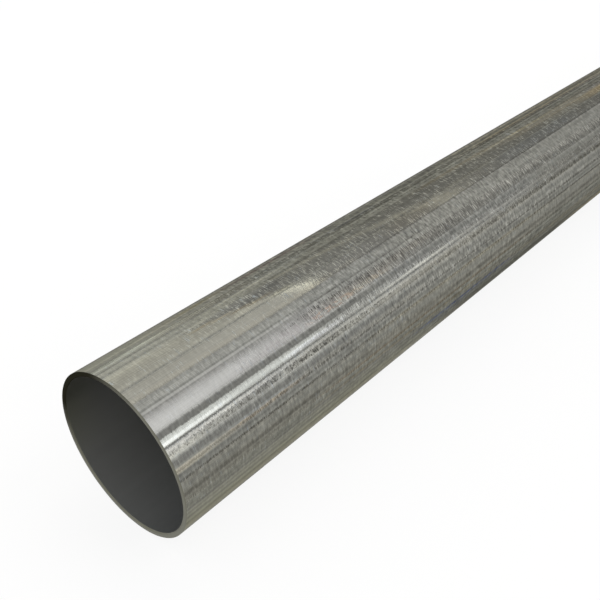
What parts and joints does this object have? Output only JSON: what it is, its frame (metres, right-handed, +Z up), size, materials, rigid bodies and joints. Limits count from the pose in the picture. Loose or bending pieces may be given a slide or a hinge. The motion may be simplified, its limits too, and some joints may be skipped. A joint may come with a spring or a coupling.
{
  "type": "steel conduit pipe",
  "caption": "Straight thin-wall galvanised steel conduit pipe with plain, square-cut, reamed ends, for electrical wiring.",
  "frame": {"origin": "on the floor under the pipe's middle: midway along its length, under its axis", "axes": "+X along the pipe's axis, +Z up, +Y across the pipe"},
  "size_m": [3.048, 0.0556, 0.0558],
  "materials": {
    "galvanised_steel": "drawn and galvanised, grey with an olive cast, with lengthwise die streaks and fine cross grain"
  },
  "bodies": {
    "root": {"conduit_pipe": "galvanised_steel"}
  },
  "joints": []
}
